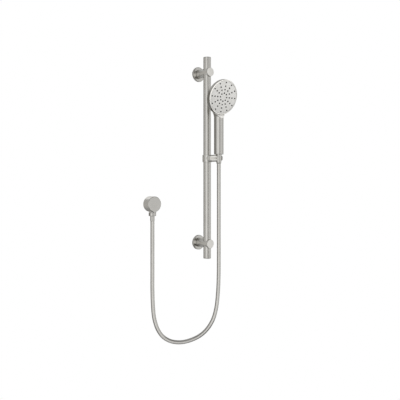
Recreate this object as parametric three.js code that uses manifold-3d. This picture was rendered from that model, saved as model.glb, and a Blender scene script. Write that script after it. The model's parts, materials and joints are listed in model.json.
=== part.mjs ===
// Wall-mounted hand-shower rail set: rail on two posts, sliding and tilting holder, handset, hose and wall outlet.
//
// Millimetres, +Z up. The wall is the plane Y = 0 and the room is on its -Y side; X runs right along the wall.
// The origin is the centre of the lower post's wall plate.

import * as THREE from 'three';
import { mergeVertices } from 'three/addons/utils/BufferGeometryUtils.js';
import Module from 'manifold-3d';

const wasm = await Module();
wasm.setup();

// ---------------------------------------------------------------------------------------------------------
// Driving dimensions

const GAP = 0.3;

const RAIL_RADIUS = 12.5;
const RAIL_WALL = 1.5;
const RAIL_LENGTH = 663;
const RAIL_BELOW = 49;
const RAIL_STANDOFF = 50;

const POST_SPACING = 564;
const POST_RADIUS = 14;
const POST_FRONT = 65;
const CAP_RADIUS = 14.5;
const CAP_FRONT = 67;
const FLANGE_RADIUS = 24.4;
const FLANGE_DEPTH = 6.5;

const SLIDER_HEIGHT = 280;
const COLLAR_RADIUS = 15.4;
const COLLAR_HEIGHT = 23.4;
const ARM_RADIUS = 11.4;
const ARM_REACH = 60;
const ARM_FRONT = 67;
const BOSS_REACH = 27;
const SLOT_WIDTH = 16.8;
const CONE_RADIUS = 8.9;
const CONE_TAPER = 0.045;

const HANDLE_RADIUS = 15.5;
const HANDLE_BOTTOM = 291.7;
const HANDLE_TOP = 412;
const SHOULDER = 408;
const HEAD_RADIUS = 56;
const HEAD_RIM = 9;
const HEAD_DOME = 24;
const HEAD_TILT = 17;
const HEAD_FORWARD = 24.3;
const HEAD_LEAN = 0.42;
const HEAD_HEIGHT = 472.7;

const NOZZLE_RADIUS = 1.9;
const NOZZLE_RINGS = [
  { count: 12, radius: 46.7 },
  { count: 12, radius: 35 },
  { count: 12, radius: 24.1 },
  { count: 8, radius: 12.9 },
];

const HOSE_RADIUS = 6.5;
const HOSE_SIDES = 8;
const HOSE_STEPS = 42;

const OUTLET_X = -192;
const OUTLET_HEIGHT = 134;
const OUTLET_RADIUS = 24.2;
const OUTLET_DEPTH = 29.2;
const OUTLET_PORT = 15.5;
const BOSS_RADIUS = 11;
const BOSS_DROP = 27;

const HOLDER_Y = -RAIL_STANDOFF - ARM_REACH;
const FINE = 28;
const ROUND = 16;
const SMALL = 8;

// ---------------------------------------------------------------------------------------------------------
// Finishes

const FINISHES = {
  nickel: { color: 0xc4c1ba, roughness: 0.3, metalness: 1 },
  face: { color: 0xdcdbd7, roughness: 0.4, metalness: 0.4 },
  silicone: { color: 0x55564f, roughness: 0.7, metalness: 0 },
  plastic: { color: 0xe4e2dc, roughness: 0.5, metalness: 0 },
  rubber: { color: 0x2a2a2a, roughness: 0.8, metalness: 0 },
  brass: { color: 0xc2a25c, roughness: 0.35, metalness: 1 },
  steel: { color: 0x9c9d9e, roughness: 0.35, metalness: 1 },
  hose: { color: 0xcdccc7, roughness: 0.35, metalness: 0.6 },
};

function piece(name, geometry, finish) {
  const mesh = new THREE.Mesh(geometry, new THREE.MeshStandardMaterial(FINISHES[finish]));
  mesh.name = name;
  return mesh;
}

// ---------------------------------------------------------------------------------------------------------
// Solids: every shape is a closed three.js geometry, and booleans go through manifold-3d

function signedVolume(points, index) {
  const a = new THREE.Vector3();
  const b = new THREE.Vector3();
  const c = new THREE.Vector3();
  let volume = 0;
  for (let i = 0; i < index.length; i += 3) {
    a.fromBufferAttribute(points, index[i]);
    b.fromBufferAttribute(points, index[i + 1]);
    c.fromBufferAttribute(points, index[i + 2]);
    volume += a.dot(b.cross(c)) / 6;
  }
  return volume;
}

// The geometry with shared vertices merged, flat triangles dropped and faces pointing out.
function closed(geometry) {
  const bare = geometry.clone();
  bare.deleteAttribute('normal');
  bare.deleteAttribute('uv');
  const merged = mergeVertices(bare, 1e-4);
  const all = merged.index.array;
  let index = [];
  for (let i = 0; i < all.length; i += 3) {
    const [a, b, c] = [all[i], all[i + 1], all[i + 2]];
    if (a !== b && b !== c && c !== a) index.push(a, b, c);
  }
  if (signedVolume(merged.attributes.position, index) < 0) index = index.reverse();
  merged.setIndex(index);
  return merged;
}

function toSolid(geometry) {
  const shape = closed(geometry);
  const vertProperties = new Float32Array(shape.attributes.position.array);
  const triVerts = new Uint32Array(shape.index.array);
  return new wasm.Manifold(new wasm.Mesh({ numProp: 3, vertProperties, triVerts }));
}

function toGeometry(solid) {
  const mesh = solid.getMesh();
  const geometry = new THREE.BufferGeometry();
  geometry.setAttribute('position', new THREE.BufferAttribute(mesh.vertProperties, 3));
  geometry.setIndex(Array.from(mesh.triVerts));
  geometry.computeVertexNormals();
  return geometry;
}

function join(first, ...others) {
  return toGeometry(others.reduce((sum, other) => sum.add(toSolid(other)), toSolid(first)));
}

function cut(first, ...others) {
  return toGeometry(others.reduce((rest, other) => rest.subtract(toSolid(other)), toSolid(first)));
}

// A solid of revolution about Z from [radius, height] corners. A bored outline closes on itself.
function turned(outline, sides = ROUND) {
  const points = outline.map(([radius, height]) => new THREE.Vector2(radius, height));
  const bored = outline.every(([radius]) => radius > 0);
  if (bored) points.push(points[0].clone());
  return closed(new THREE.LatheGeometry(points, sides).rotateX(Math.PI / 2));
}

function rod(radius, low, high, sides = ROUND) {
  return turned([[0, low], [radius, low], [radius, high], [0, high]], sides);
}

function sleeve(inner, outer, low, high, sides = ROUND) {
  return turned([[inner, low], [outer, low], [outer, high], [inner, high]], sides);
}

function seal(radius, thickness, height, sides = ROUND) {
  return new THREE.TorusGeometry(radius, thickness, 5, sides).translate(0, 0, height);
}

// Corner points of an arc about [x, y], from one angle to another in degrees.
function arc(x, y, radius, from, to, steps = 1) {
  const points = [];
  for (let i = 0; i <= steps; i += 1) {
    const angle = THREE.MathUtils.degToRad(from + ((to - from) * i) / steps);
    points.push([x + radius * Math.cos(angle), y + radius * Math.sin(angle)]);
  }
  return points;
}

function box(width, depth, height) {
  return new THREE.BoxGeometry(width, depth, height);
}

// A Z-axis shape laid along the local Y axis, its top end pointing to -Y.
function lying(geometry) {
  return geometry.rotateX(Math.PI / 2);
}

// A headless screw along Z with a hexagon socket in its low end.
function setScrew(radius, low, high) {
  const socket = new THREE.CylinderGeometry(radius * 0.5, radius * 0.5, 4, 6);
  socket.rotateX(Math.PI / 2).translate(0, 0, low);
  return cut(rod(radius, low, high, SMALL), socket);
}

// A closed skin through rings of points, all rings of the same size.
function loft(rings) {
  const count = rings[0].length;
  const positions = rings.flat().flatMap((point) => point.toArray());
  const index = [];
  for (let r = 0; r < rings.length - 1; r += 1) {
    for (let i = 0; i < count; i += 1) {
      const next = (i + 1) % count;
      const low = r * count;
      const high = low + count;
      index.push(low + i, low + next, high + next);
      index.push(low + i, high + next, high + i);
    }
  }
  const top = (rings.length - 1) * count;
  for (let i = 1; i < count - 1; i += 1) {
    index.push(0, i + 1, i);
    index.push(top, top + i, top + i + 1);
  }
  const geometry = new THREE.BufferGeometry();
  geometry.setAttribute('position', new THREE.Float32BufferAttribute(positions, 3));
  geometry.setIndex(index);
  return geometry;
}

// ---------------------------------------------------------------------------------------------------------
// Rail

function railEnd(name, height, turn) {
  const plug = RAIL_RADIUS - RAIL_WALL - GAP;
  const outline = [
    [0, -10],
    [plug, -10],
    [plug, -2],
    [RAIL_RADIUS, -2],
    ...arc(RAIL_RADIUS - 1, -1, 1, 0, 90),
    [0, 0],
  ];
  const cap = piece(name, turned(outline), 'nickel');
  cap.position.z = height;
  cap.rotation.x = turn;
  return cap;
}

function rail() {
  const group = new THREE.Group();
  const low = -RAIL_BELOW;
  const high = low + RAIL_LENGTH;
  const bore = RAIL_RADIUS - RAIL_WALL;
  const tube = sleeve(bore, RAIL_RADIUS, low + 2 + GAP, high - 2 - GAP, FINE);
  group.add(piece('rail_tube', tube, 'nickel'));
  group.add(railEnd('rail_top_cap', high, 0));
  group.add(railEnd('rail_bottom_cap', low, Math.PI));
  group.position.y = -RAIL_STANDOFF;
  return group;
}

// ---------------------------------------------------------------------------------------------------------
// Wall posts. In a post's own frame Z runs out of the wall and Y runs up.

const PLATE_THICKNESS = 3.5;
const PLATE_RADIUS = 21.5;
const PLATE_SCREW_SPACING = 30;
const SPIGOT_RADIUS = 9.7;
const SPIGOT_END = 13.8;
const POST_SCREW_DEPTH = 9.2;

function wallPlate() {
  const groove = SPIGOT_RADIUS - 0.6;
  const outline = [
    [0, 0],
    [PLATE_RADIUS, 0],
    [PLATE_RADIUS, PLATE_THICKNESS],
    [SPIGOT_RADIUS, PLATE_THICKNESS],
    [SPIGOT_RADIUS, POST_SCREW_DEPTH - 1.2],
    [groove, POST_SCREW_DEPTH],
    [SPIGOT_RADIUS, POST_SCREW_DEPTH + 1.2],
    [SPIGOT_RADIUS, SPIGOT_END - 0.8],
    [SPIGOT_RADIUS - 0.8, SPIGOT_END],
    [0, SPIGOT_END],
  ];
  const half = PLATE_SCREW_SPACING / 2;
  const holes = [-half, half].map((x) => rod(2.6, -1, PLATE_THICKNESS + 1, SMALL).translate(x, 0, 0));
  return cut(turned(outline), ...holes);
}

function flangeCover() {
  const inner = FLANGE_RADIUS - 1.5;
  const mouth = POST_RADIUS + 0.4;
  const outline = [
    [mouth, FLANGE_DEPTH - 1.5],
    [inner, FLANGE_DEPTH - 1.5],
    [inner, GAP],
    [FLANGE_RADIUS, GAP],
    ...arc(FLANGE_RADIUS - 1.2, FLANGE_DEPTH - 1.2, 1.2, 0, 90),
    [mouth, FLANGE_DEPTH],
  ];
  return turned(outline, FINE);
}

function post() {
  const bar = rod(POST_RADIUS, PLATE_THICKNESS + GAP, POST_FRONT, FINE);
  const socket = rod(SPIGOT_RADIUS + GAP, 0, SPIGOT_END + GAP);
  const screwBore = rod(3.1, SPIGOT_END, RAIL_STANDOFF, SMALL);
  const railBore = lying(rod(RAIL_RADIUS + GAP, -30, 30, FINE)).translate(0, 0, RAIL_STANDOFF);
  const capSeat = rod(10.2, POST_FRONT - 1.2, POST_FRONT + 1);
  const grubBore = lying(rod(2.4, 5, 20, SMALL)).translate(0, 0, POST_SCREW_DEPTH);
  return cut(bar, socket, screwBore, railBore, capSeat, grubBore);
}

function postCap() {
  const outline = [
    [0, POST_FRONT - 0.9],
    [9.9, POST_FRONT - 0.9],
    [9.9, POST_FRONT + GAP],
    [CAP_RADIUS, POST_FRONT + GAP],
    ...arc(CAP_RADIUS - 0.9, CAP_FRONT - 0.9, 0.9, 0, 90),
    [0, CAP_FRONT],
  ];
  return turned(outline, FINE);
}

function wallPost(side, height) {
  const group = new THREE.Group();
  const railBack = RAIL_STANDOFF - RAIL_RADIUS;
  const grub = lying(setScrew(2.1, -POST_RADIUS + 0.4, -SPIGOT_RADIUS - GAP).rotateX(Math.PI));
  group.add(piece(`${side}_wall_plate`, wallPlate(), 'steel'));
  group.add(piece(`${side}_flange_cover`, flangeCover(), 'nickel'));
  group.add(piece(`${side}_flange_oring`, seal(15.3, 0.6, 4.25), 'rubber'));
  group.add(piece(`${side}_post`, post(), 'nickel'));
  group.add(piece(`${side}_post_cap`, postCap(), 'nickel'));
  group.add(piece(`${side}_rail_set_screw`, setScrew(2.8, railBack - 13, railBack - GAP), 'steel'));
  group.add(piece(`${side}_post_grub_screw`, grub.translate(0, 0, POST_SCREW_DEPTH), 'steel'));
  group.position.z = height;
  group.rotation.x = Math.PI / 2;
  return group;
}

// ---------------------------------------------------------------------------------------------------------
// Slider: collar on the rail and, on its forward axis, the tilting holder.
// In the arm frame Z runs forward from the rail's axis and Y runs up.

const BUSH_RADIUS = 13.6;
const PLUNGER_RADIUS = 4;
const ARM_START = BOSS_REACH + 1.4;
const SCREW_HEAD_SEAT = 42.5;
const SCREW_SEAT_RADIUS = 5.1;

function collar() {
  const half = COLLAR_HEIGHT / 2;
  const edge = 1;
  const outline = [
    [BUSH_RADIUS + GAP, -half],
    ...arc(COLLAR_RADIUS - edge, -half + edge, edge, -90, 0),
    ...arc(COLLAR_RADIUS - edge, half - edge, edge, 0, 90),
    [BUSH_RADIUS + GAP, half],
  ];
  const ring = turned(outline, FINE);
  const boss = lying(rod(ARM_RADIUS, 8, BOSS_REACH, FINE));
  const railSide = rod(BUSH_RADIUS + GAP, -half - 1, half + 1, FINE);
  const plungerBore = lying(rod(PLUNGER_RADIUS + 1.2, 8, 18.5, SMALL));
  const screwBore = lying(rod(2.6, 10, BOSS_REACH + 1, SMALL));
  return cut(join(ring, cut(boss, railSide)), plungerBore, screwBore);
}

// The radius of the hose's conical nut at a height above the arm's axis.
function coneAt(height) {
  return CONE_RADIUS + CONE_TAPER * height;
}

// The arm is a round bar. Near its front end a conical hole goes down through it, open to the front by a slot.
function holder() {
  const edge = 0.8;
  const past = ARM_RADIUS + 1;
  const armOutline = [
    [0, ARM_START],
    [ARM_RADIUS, ARM_START],
    ...arc(ARM_RADIUS - edge, ARM_FRONT - edge, edge, 0, 90),
    [0, ARM_FRONT],
  ];
  const arm = lying(turned(armOutline, FINE));
  const holeOutline = [[0, -past], [coneAt(-past) + GAP, -past], [coneAt(past) + GAP, past], [0, past]];
  const hole = turned(holeOutline, FINE).translate(0, -ARM_REACH, 0);
  const slot = box(SLOT_WIDTH, 40, 60).translate(0, -ARM_REACH - 20, 0);
  const screwBore = lying(rod(2.9, 20, 50, SMALL));
  const screwSeat = lying(rod(SCREW_SEAT_RADIUS, SCREW_HEAD_SEAT, 52, SMALL));
  return cut(arm, hole, slot, screwBore, screwSeat);
}

function pivotScrew() {
  const head = SCREW_HEAD_SEAT + 1;
  const outline = [
    [0, 18.8],
    [2.3, 18.8],
    [2.3, head],
    [4.3, head],
    [4.3, head + 2.4],
    [3.8, head + 2.9],
    [0, head + 2.9],
  ];
  const socket = new THREE.CylinderGeometry(1.8, 1.8, 4, 6).rotateX(Math.PI / 2);
  return cut(turned(outline, SMALL), socket.translate(0, 0, head + 2.9));
}

function slider() {
  const group = new THREE.Group();
  const springOutline = [[2.6, 17.2], [4.7, 15.8], [4.7, 16.6], [2.6, 18]];
  const bush = [RAIL_RADIUS + GAP, BUSH_RADIUS];
  const bushFar = COLLAR_HEIGHT / 2 - 0.5;
  const bushNear = PLUNGER_RADIUS + 0.8;
  group.add(piece('slider_collar', collar(), 'nickel'));
  group.add(piece('slider_upper_bush', sleeve(...bush, bushNear, bushFar, FINE), 'plastic'));
  group.add(piece('slider_lower_bush', sleeve(...bush, -bushFar, -bushNear, FINE), 'plastic'));
  group.add(piece('friction_plunger', lying(rod(PLUNGER_RADIUS, 12.9, 15.5, SMALL)), 'plastic'));
  group.add(piece('friction_spring', lying(turned(springOutline, SMALL)), 'steel'));
  const washer = sleeve(3, ARM_RADIUS - 1, BOSS_REACH + GAP, ARM_START - GAP);
  group.add(piece('pivot_washer', lying(washer), 'plastic'));
  group.add(piece('holder_body', holder(), 'nickel'));
  group.add(piece('pivot_spring_washer', lying(sleeve(2.6, 4.5, 42.7, 43.3, SMALL)), 'steel'));
  group.add(piece('pivot_screw', lying(pivotScrew()), 'steel'));
  group.position.set(0, -RAIL_STANDOFF, SLIDER_HEIGHT);
  return group;
}

// ---------------------------------------------------------------------------------------------------------
// Handset. Its frame stands on the handle's axis; the head's own frame has Z out of the spray face and Y up it.

const HEAD_FRAME = new THREE.Matrix4()
  .makeRotationX(Math.PI / 2 + THREE.MathUtils.degToRad(HEAD_TILT))
  .setPosition(0, -HEAD_FORWARD, HEAD_HEIGHT);
const RING_BACK = -3.3;
const PLATE_FRONT = -0.4;
const PLATE_BACK = -3;
const MAT_FRONT = -3.4;
const MAT_BACK = -5.4;
const CAVITY_RADIUS = 51;
const FOOT_BORE = 12.6;
const FOOT_BORE_TOP = 304.3;
const SPIGOT_TOP = 318;
const SEAL_HEIGHT = 408;
const TUBE_TOP = 416;
const TUBE_RADIUS = 7;
const NUT_TOP = 303.4;
const NUT_SEAT = 295;
const NUT_BOTTOM = 261.5;
const NUT_LIP = 265.7;
const FLANGE_TOP = NUT_SEAT + 1.9;
const WASHER_TOP = FLANGE_TOP + 2.2;
const BOSS_CIRCLE = 41;

function onHead(geometry) {
  return geometry.applyMatrix4(HEAD_FRAME);
}

// Where the neck swells from the handle into the head: height, half width, front and back.
const NECK_SECTIONS = [
  { height: 398, half: 15.5, front: -15.5, back: 15.5 },
  { height: 408, half: 15.7, front: -15.5, back: 15.5 },
  { height: 415, half: 17, front: -15.5, back: 15.4 },
  { height: 421, half: 20, front: -15.3, back: 15.1 },
  { height: 428, half: 25, front: -15, back: 14.6 },
  { height: 438, half: 31, front: -14, back: 13.4 },
  { height: 450, half: 35, front: -12, back: 11 },
];

function neck() {
  const rings = NECK_SECTIONS.map(({ height, half, front, back }) => {
    const middle = (front + back) / 2;
    const depth = (back - front) / 2;
    const ring = [];
    for (let i = 0; i < FINE; i += 1) {
      const angle = (2 * Math.PI * i) / FINE;
      ring.push(new THREE.Vector3(half * Math.cos(angle), middle + depth * Math.sin(angle), height));
    }
    return ring;
  });
  return loft(rings);
}

// The back of the head is a dome whose crown leans down towards the handle.
function headShell() {
  const domeOutline = [
    [0, 3],
    [HEAD_RADIUS, 3],
    ...arc(0, 0, 1, 0, 90, 6).map(([x, y]) => [HEAD_RADIUS * x, -HEAD_RIM - HEAD_DOME * y]).slice(0, -1),
    [0, -HEAD_RIM - HEAD_DOME],
  ];
  const dome = turned(domeOutline, FINE);
  const points = dome.attributes.position;
  for (let i = 0; i < points.count; i += 1) {
    const depth = Math.max(0, -HEAD_RIM - points.getZ(i));
    points.setY(i, points.getY(i) - HEAD_LEAN * depth);
  }
  return onHead(dome);
}

function handsetShell() {
  const foot = 1.6;
  const handleOutline = [
    [0, HANDLE_BOTTOM],
    ...arc(HANDLE_RADIUS - foot, HANDLE_BOTTOM + foot, foot, -90, 0),
    [HANDLE_RADIUS, HANDLE_TOP + 6],
    [0, HANDLE_TOP + 6],
  ];
  const outside = join(turned(handleOutline, FINE), neck(), headShell());
  const faceSide = onHead(box(160, 140, 40).translate(0, 13.4, 20 + RING_BACK - GAP));
  const tilt = (HEAD_TILT * Math.PI) / 180;
  const ringFoot = HEAD_HEIGHT - HEAD_RADIUS * Math.cos(tilt);
  const ringSetBack = HANDLE_RADIUS - HEAD_FORWARD + HEAD_RADIUS * Math.sin(tilt);
  const shoulder = box(80, 60, 40).translate(0, 0, 20).rotateX(Math.atan2(ringFoot - SHOULDER, ringSetBack));
  shoulder.translate(0, -HANDLE_RADIUS, SHOULDER);
  const cavityOutline = [
    [0, 5],
    [CAVITY_RADIUS, 5],
    [CAVITY_RADIUS, -13],
    [44, -19],
    [20, -27],
    [0, -28],
  ];
  const cavity = onHead(turned(cavityOutline, FINE));
  const handleBore = rod(10.8, HANDLE_BOTTOM - 1, SEAL_HEIGHT + 2);
  const tubeBore = rod(TUBE_RADIUS + GAP, SEAL_HEIGHT + 1, TUBE_TOP + GAP);
  const passage = rod(3.6, TUBE_TOP, 431, SMALL);
  const footBore = rod(FOOT_BORE, HANDLE_BOTTOM - 1, FOOT_BORE_TOP, FINE);
  const shell = cut(outside, faceSide, shoulder, cavity, handleBore, tubeBore, passage, footBore);
  const bosses = plateScrewPlaces().map(([x, y]) => onHead(rod(3.4, -24, -8.6, SMALL).translate(x, y, 0)));
  const pilots = plateScrewPlaces().map(([x, y]) => onHead(rod(1.4, -15.5, -8, 8).translate(x, y, 0)));
  return cut(join(shell, ...bosses), ...pilots);
}

// Places evenly round a circle, the first at the top.
function circlePlaces(count, radius) {
  const places = [];
  for (let i = 0; i < count; i += 1) {
    const angle = Math.PI / 2 + (2 * Math.PI * i) / count;
    places.push([radius * Math.cos(angle), radius * Math.sin(angle)]);
  }
  return places;
}

function plateScrewPlaces() {
  return circlePlaces(3, BOSS_CIRCLE);
}

function nozzlePlaces() {
  return NOZZLE_RINGS.flatMap(({ count, radius }) => circlePlaces(count, radius));
}

function faceRing() {
  const outline = [
    [52.2, RING_BACK],
    [HEAD_RADIUS, RING_BACK],
    ...arc(HEAD_RADIUS - 1.8, -1.8, 1.8, 0, 90),
    [52.2, 0],
  ];
  return turned(outline, FINE);
}

function facePlate() {
  const holes = nozzlePlaces().map(([x, y]) => rod(NOZZLE_RADIUS + GAP, -5, 2, 6).translate(x, y, 0));
  return cut(rod(51.8, PLATE_BACK, PLATE_FRONT, FINE), ...holes);
}

function nozzleMat() {
  const nubOutline = [[0, -4], [NOZZLE_RADIUS, -4], [NOZZLE_RADIUS - 0.35, 0.5], [0, 0.5]];
  const nubs = nozzlePlaces().map(([x, y]) => turned(nubOutline, 6).translate(x, y, 0));
  const jets = nozzlePlaces().map(([x, y]) => rod(0.7, -6, 2, 4).translate(x, y, 0));
  return cut(join(rod(49.5, MAT_BACK, MAT_FRONT, ROUND), ...nubs), ...jets);
}

function distributorPlate() {
  const waterHoles = circlePlaces(8, 28).map(([x, y]) => rod(3, -10, -4, SMALL).translate(x, y, 0));
  const screwHoles = plateScrewPlaces().map(([x, y]) => rod(3, -10, -4, SMALL).translate(x, y, 0));
  return cut(rod(49.5, -8.2, -5.8, ROUND), ...waterHoles, ...screwHoles);
}

function plateScrew() {
  const outline = [[0, -14.5], [1.1, -14.5], [1.1, -7.9], [2.6, -7.9], [2.6, -6], [0, -6]];
  return turned(outline, 12);
}

// The threaded inlet, recessed in the handle's foot.
function inletSpigot() {
  const outline = [
    [6.8, WASHER_TOP + GAP],
    [9.4, WASHER_TOP + GAP],
    [10, WASHER_TOP + 0.9],
    [10, FOOT_BORE_TOP + GAP],
    [10.5, FOOT_BORE_TOP + GAP],
    [10.5, SPIGOT_TOP],
    [6.8, SPIGOT_TOP],
  ];
  return turned(outline);
}

function handset() {
  const group = new THREE.Group();
  const head = new THREE.Group();
  group.add(piece('handset_shell', handsetShell(), 'nickel'));
  group.add(piece('inlet_spigot', inletSpigot(), 'brass'));
  group.add(piece('water_tube', sleeve(5.4, TUBE_RADIUS, SPIGOT_TOP + GAP, TUBE_TOP, SMALL), 'plastic'));
  group.add(piece('water_tube_seal', seal(8.9, 1.5, SEAL_HEIGHT), 'rubber'));
  head.add(piece('face_ring', faceRing(), 'nickel'));
  head.add(piece('face_plate', facePlate(), 'face'));
  head.add(piece('nozzle_mat', nozzleMat(), 'silicone'));
  head.add(piece('distributor_plate', distributorPlate(), 'plastic'));
  head.add(piece('face_seal', seal(49.2, 0.7, -9.4), 'rubber'));
  plateScrewPlaces().forEach(([x, y], i) => {
    head.add(piece(`plate_screw_${i + 1}`, plateScrew().translate(x, y, 0), 'steel'));
  });
  head.applyMatrix4(HEAD_FRAME);
  group.add(head);
  group.position.y = HOLDER_Y;
  return group;
}

// ---------------------------------------------------------------------------------------------------------
// Hose, with the conical nut that stands in the arm's hole and the nut under the outlet

const HOSE_TOP = NUT_LIP;
const HOSE_END = 80.7;
const OUTLET_Y = -OUTLET_PORT;

// The centreline's route, from the handset's ferrule round the hanging loop to the outlet's ferrule.
const HOSE_ROUTE = [
  [0, HOLDER_Y, HOSE_TOP],
  [0, HOLDER_Y, 215],
  [0, HOLDER_Y, 150],
  [0, HOLDER_Y, 85],
  [0, HOLDER_Y, 20],
  [0, HOLDER_Y, -40],
  [-0.5, HOLDER_Y, -95],
  [-2.5, -109, -150],
  [-8, -106, -204],
  [-18, -101, -240],
  [-35, -93, -268],
  [-56, -83, -287],
  [-84, -69, -300],
  [-114, -55, -304.5],
  [-141, -41, -299],
  [-162, -30, -284],
  [-177, -23, -260],
  [-187, -18.5, -225],
  [-191, -16.5, -180],
  [OUTLET_X, OUTLET_Y, -130],
  [OUTLET_X, OUTLET_Y, -75],
  [OUTLET_X, OUTLET_Y, -20],
  [OUTLET_X, OUTLET_Y, 35],
  [OUTLET_X, OUTLET_Y, HOSE_END],
];

function hoseTube() {
  const route = new THREE.CatmullRomCurve3(HOSE_ROUTE.map((point) => new THREE.Vector3(...point)));
  const section = new THREE.Shape();
  for (let i = 0; i < HOSE_SIDES; i += 1) {
    const angle = (2 * Math.PI * i) / HOSE_SIDES;
    const [x, y] = [HOSE_RADIUS * Math.cos(angle), HOSE_RADIUS * Math.sin(angle)];
    if (i === 0) section.moveTo(x, y);
    else section.lineTo(x, y);
  }
  section.closePath();
  return closed(new THREE.ExtrudeGeometry(section, { steps: HOSE_STEPS, extrudePath: route }));
}

// The nut's wide threaded top is inside the handle's foot, and its cone hangs below it.
function coneNut() {
  const shoulder = HANDLE_BOTTOM + 0.5;
  const taper = NUT_BOTTOM + 5.3;
  const outline = [
    [10.3, NUT_TOP],
    [10.3, NUT_SEAT],
    [7.6, NUT_SEAT],
    [7.6, NUT_LIP],
    [HOSE_RADIUS + GAP, NUT_LIP],
    [HOSE_RADIUS + GAP, NUT_BOTTOM],
    [7.1, NUT_BOTTOM],
    [coneAt(taper - SLIDER_HEIGHT), taper],
    [coneAt(shoulder - SLIDER_HEIGHT), shoulder],
    [FOOT_BORE - 0.4, shoulder],
    [FOOT_BORE - 0.4, NUT_TOP - 0.4],
    [FOOT_BORE - 0.8, NUT_TOP],
  ];
  return turned(outline, FINE);
}

function hoseFittings() {
  const upper = new THREE.Group();
  const lower = new THREE.Group();
  const flange = NUT_SEAT + GAP;
  const upperTail = [
    [4, NUT_LIP + GAP],
    [7.3, NUT_LIP + GAP],
    [7.3, flange],
    [9.7, flange],
    [9.7, FLANGE_TOP],
    [4, FLANGE_TOP],
  ];
  const lowerTail = [
    [4, 81],
    [6.7, 81],
    [6.9, 83],
    [6.9, 96.5],
    [6.5, 96.5],
    [6.5, 99.9],
    [9.4, 99.9],
    [9.4, 101.2],
    [4, 101.2],
  ];
  const nut = [
    [6.9, 96.8],
    ...arc(10.5, 98, 1.2, -90, 0),
    [11.7, 106],
    [11.2, 106.7],
    [9.8, 106.7],
    [9.8, 99.6],
    [6.9, 99.6],
  ];
  upper.add(piece('hose_cone_nut', coneNut(), 'nickel'));
  upper.add(piece('filter_washer', sleeve(4.5, 9.7, FLANGE_TOP + GAP, WASHER_TOP), 'rubber'));
  upper.add(piece('hose_upper_ferrule', turned(upperTail), 'nickel'));
  upper.position.y = HOLDER_Y;
  lower.add(piece('hose_lower_ferrule', turned(lowerTail), 'nickel'));
  lower.add(piece('hose_lower_nut', turned(nut), 'nickel'));
  lower.add(piece('hose_lower_washer', sleeve(4.5, 9.3, 101.4, 102.6, SMALL), 'rubber'));
  lower.position.set(OUTLET_X, OUTLET_Y, 0);
  return [upper, lower, piece('hose', hoseTube(), 'hose')];
}

// ---------------------------------------------------------------------------------------------------------
// Wall outlet. In its own frame Z runs out of the wall and Y runs up; the port points down at OUTLET_PORT.

const STUB_DROP = 31.1;
const CHECK_BORE = 8;

// A Z-axis shape hung on the port's axis, its heights measured down from the outlet's centre.
function onPort(geometry) {
  return lying(geometry).translate(0, 0, OUTLET_PORT);
}

function outletBody() {
  const edge = 1.6;
  const discOutline = [
    [0, 0],
    [OUTLET_RADIUS, 0],
    ...arc(OUTLET_RADIUS - edge, OUTLET_DEPTH - edge, edge, 0, 90),
    [0, OUTLET_DEPTH],
  ];
  const boss = onPort(rod(BOSS_RADIUS, 5, BOSS_DROP, ROUND));
  const stub = onPort(rod(9.5, 20, STUB_DROP, ROUND));
  const body = join(turned(discOutline, FINE), boss, stub);
  const bushBore = rod(13.3, -1, 12.3);
  const waterway = rod(8, 10, 23);
  const drop = lying(rod(4.5, 0, 20, SMALL)).translate(0, 0, 17.5);
  const valveBore = onPort(rod(CHECK_BORE, 15.4, STUB_DROP + 1, ROUND));
  const gasketGroove = sleeve(19.6, 23, -1, 1.8);
  const grubBore = rod(2.4, 12, 26, SMALL).rotateY(Math.PI / 2).translate(0, 0, 6);
  return cut(body, bushBore, waterway, drop, valveBore, gasketGroove, grubBore);
}

// A coil spring about Z between two heights.
function coil(radius, wire, low, high, turns) {
  const points = [];
  const steps = turns * 10;
  for (let i = 0; i <= steps; i += 1) {
    const angle = (2 * Math.PI * i) / 10;
    const height = low + wire + ((high - low - 2 * wire) * i) / steps;
    points.push(new THREE.Vector3(radius * Math.cos(angle), radius * Math.sin(angle), height));
  }
  const section = new THREE.Shape();
  section.moveTo(wire, 0);
  section.lineTo(0, wire);
  section.lineTo(-wire, 0);
  section.lineTo(0, -wire);
  section.closePath();
  const path = new THREE.CatmullRomCurve3(points);
  return closed(new THREE.ExtrudeGeometry(section, { steps, extrudePath: path }));
}

function outlet() {
  const group = new THREE.Group();
  const cageOutline = [[2.8, 30.8], [7.7, 30.8], [7.7, 17.8], [5.8, 17.8], [5.8, 28.4], [2.8, 28.4]];
  const poppetOutline = [
    [0, 17.8],
    [3, 17.8],
    [4.9, 18.8],
    [4.9, 19.6],
    [2, 19.6],
    [2, 22.5],
    [0, 22.5],
  ];
  const grub = setScrew(2.1, -23.6, -13.3).rotateY(-Math.PI / 2).translate(0, 0, 6);
  group.add(piece('outlet_body', outletBody(), 'nickel'));
  group.add(piece('outlet_inlet_bush', sleeve(9.3, 13, GAP, 12), 'brass'));
  group.add(piece('outlet_gasket', sleeve(19.9, 22.7, GAP, 1.5), 'rubber'));
  group.add(piece('outlet_grub_screw', grub, 'steel'));
  group.add(piece('check_valve_seat', onPort(sleeve(3.6, 7.7, 15.7, 17.5, SMALL)), 'plastic'));
  group.add(piece('check_valve_cage', onPort(turned(cageOutline, SMALL)), 'plastic'));
  group.add(piece('check_valve_poppet', onPort(turned(poppetOutline, SMALL)), 'plastic'));
  group.add(piece('check_valve_spring', onPort(coil(3.9, 0.35, 19.9, 28.1, 4)), 'steel'));
  group.position.set(OUTLET_X, 0, OUTLET_HEIGHT);
  group.rotation.x = Math.PI / 2;
  return group;
}

// ---------------------------------------------------------------------------------------------------------

const showerSet = new THREE.Group();
showerSet.add(rail());
showerSet.add(wallPost('lower', 0));
showerSet.add(wallPost('upper', POST_SPACING));
showerSet.add(slider());
showerSet.add(handset());
showerSet.add(...hoseFittings());
showerSet.add(outlet());

export default showerSet;
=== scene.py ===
import json
import math

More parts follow.
